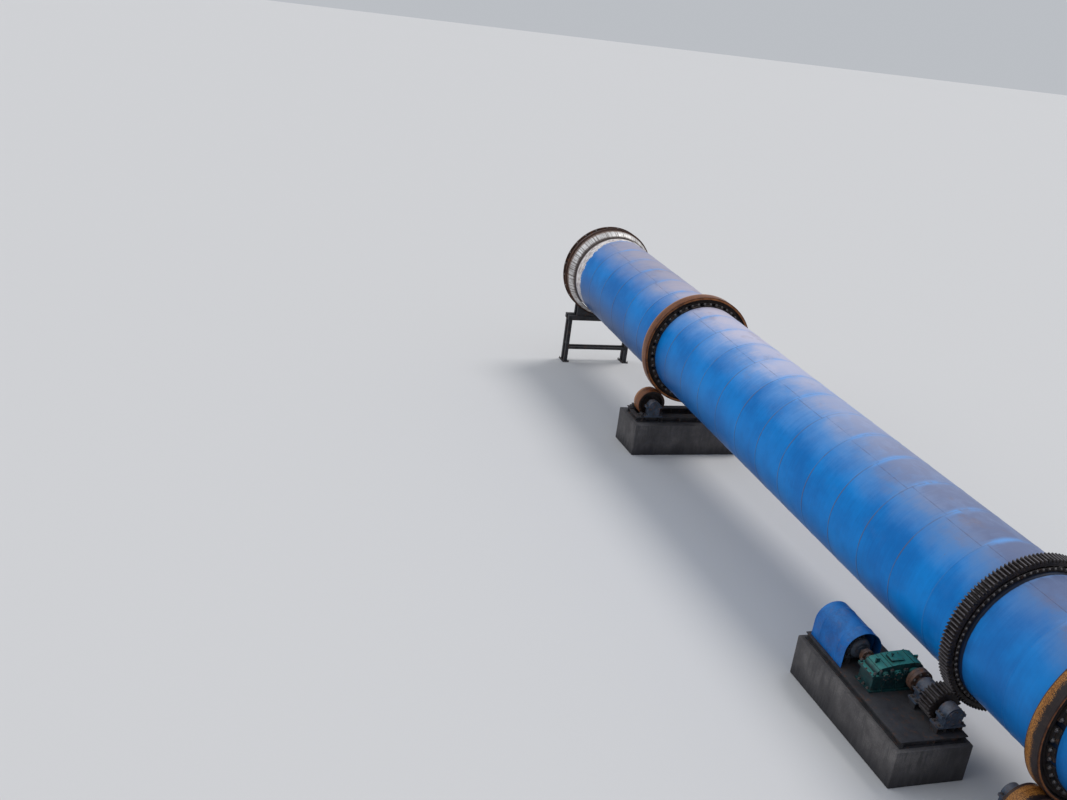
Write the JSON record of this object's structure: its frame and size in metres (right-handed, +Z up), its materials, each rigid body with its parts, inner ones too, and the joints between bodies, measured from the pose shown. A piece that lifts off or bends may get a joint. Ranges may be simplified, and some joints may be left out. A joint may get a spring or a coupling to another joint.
{
  "type": "rotary drum dryer",
  "caption": "Rotary drum dryer: sloping tube on riding rings and rollers, turned by a girth gear, pinion, reducer and covered motor, with fixed end housings.",
  "frame": {"origin": "centre of the discharge pier's foot, on the ground", "axes": "+X along the machine on the ground, uphill towards the feed end; +Y to the drive side; +Z up"},
  "size_m": [25.5152, 3.7616, 4.3178],
  "materials": {
    "blue_paint": "worn gloss paint under coal dust",
    "concrete": "cast concrete, stained",
    "worn_cast_steel": "cast steel, rolling face worn bright and rust brown",
    "greased_iron": "black with old grease",
    "shaft_steel": "turned steel, dull",
    "green_paint": "teal green machine paint, dusty",
    "rusty_steel": "rust brown",
    "grey_blue_paint": "grey-blue machine paint, dusty",
    "bright_sheet": "crinkled spring sheet, scorched",
    "grey_steel": "dark grey paint, dusty"
  },
  "bodies": {
    "root": {"bearings_discharge": "grey_blue_paint", "bearings_feed": "grey_blue_paint", "bed_discharge": "grey_steel", "bed_feed": "grey_steel", "discharge_hood": "blue_paint", "discharge_seal": "bright_sheet", "drive_bed": "grey_steel", "feed_seal": "bright_sheet", "feed_stand": "grey_steel", "feed_throat": "rusty_steel", "hood_stand": "grey_steel", "motor": "grey_blue_paint", "motor_cover": "blue_paint", "pier_discharge": "concrete", "pier_feed": "concrete", "pinion_blocks": "grey_blue_paint", "plinth_drive": "concrete", "reducer_caps": "green_paint", "reducer_case": "green_paint", "reducer_lid": "green_paint", "thrust_brackets": "grey_steel"},
    "drum": {"shell": "blue_paint", "feed_dam": "rusty_steel", "flights": "rusty_steel", "tyre_feed": "worn_cast_steel", "tyre_discharge": "worn_cast_steel", "pads_feed": "greased_iron", "pads_discharge": "greased_iron", "girth_gear": "greased_iron", "gear_mount": "greased_iron"},
    "roller_feed_left": {"roller_feed_left": "worn_cast_steel", "axle_feed_left": "shaft_steel"},
    "roller_feed_right": {"roller_feed_right": "worn_cast_steel", "axle_feed_right": "shaft_steel"},
    "roller_discharge_left": {"roller_discharge_left": "worn_cast_steel", "axle_discharge_left": "shaft_steel"},
    "roller_discharge_right": {"roller_discharge_right": "worn_cast_steel", "axle_discharge_right": "shaft_steel"},
    "thrust_up": {"thrust_roller_up": "worn_cast_steel"},
    "thrust_down": {"thrust_roller_down": "worn_cast_steel"},
    "pinion_train": {"pinion": "greased_iron", "pinion_shafts": "shaft_steel", "coupling_low": "rusty_steel"},
    "motor_train": {"motor_shafts": "shaft_steel", "coupling_high": "rusty_steel"}
  },
  "joints": [
    {"name": "drum_spin", "type": "hinge", "parent": "root", "child": "drum", "pos_m": [-0.06514, 0, 2.1966], "axis": [0.9994, 0, 0.0349], "continuous": true},
    {"name": "roller_feed_left_spin", "type": "hinge", "parent": "root", "child": "roller_feed_left", "pos_m": [14.31716, 1.02412, 1.23535], "axis": [0.9994, 0, 0.0349], "continuous": true},
    {"name": "roller_feed_right_spin", "type": "hinge", "parent": "root", "child": "roller_feed_right", "pos_m": [14.31716, -1.02412, 1.23535], "axis": [0.9994, 0, 0.0349], "continuous": true},
    {"name": "roller_discharge_left_spin", "type": "hinge", "parent": "root", "child": "roller_discharge_left", "pos_m": [-0.0141, 1.02412, 0.73489], "axis": [0.9994, 0, 0.0349], "continuous": true},
    {"name": "roller_discharge_right_spin", "type": "hinge", "parent": "root", "child": "roller_discharge_right", "pos_m": [-0.0141, -1.02412, 0.73489], "axis": [0.9994, 0, 0.0349], "continuous": true},
    {"name": "thrust_up_spin", "type": "hinge", "parent": "root", "child": "thrust_up", "pos_m": [0.26335, 0, 0.82723], "axis": [-0.0349, 0, 0.9994], "continuous": true},
    {"name": "thrust_down_spin", "type": "hinge", "parent": "root", "child": "thrust_down", "pos_m": [-0.29731, 0, 0.80765], "axis": [-0.0349, 0, 0.9994], "continuous": true},
    {"name": "pinion_spin", "type": "hinge", "parent": "root", "child": "pinion_train", "pos_m": [1.99452, 1.1316, 1.096], "axis": [0.9994, 0, 0.0349], "continuous": true},
    {"name": "motor_spin", "type": "hinge", "parent": "root", "child": "motor_train", "pos_m": [3.20378, 1.6616, 1.13823], "axis": [0.9994, 0, 0.0349], "continuous": true}
  ],
  "couplings": [
    {"joint": "roller_feed_left_spin", "follows": "drum_spin", "ratio": -3.9583},
    {"joint": "roller_feed_right_spin", "follows": "drum_spin", "ratio": -3.9583},
    {"joint": "roller_discharge_left_spin", "follows": "drum_spin", "ratio": -3.9583},
    {"joint": "roller_discharge_right_spin", "follows": "drum_spin", "ratio": -3.9583},
    {"joint": "thrust_up_spin", "follows": "drum_spin", "ratio": -9.2933},
    {"joint": "thrust_down_spin", "follows": "drum_spin", "ratio": 9.2933},
    {"joint": "pinion_spin", "follows": "drum_spin", "ratio": -5.1667},
    {"joint": "motor_spin", "follows": "drum_spin", "ratio": -207.54}
  ]
}
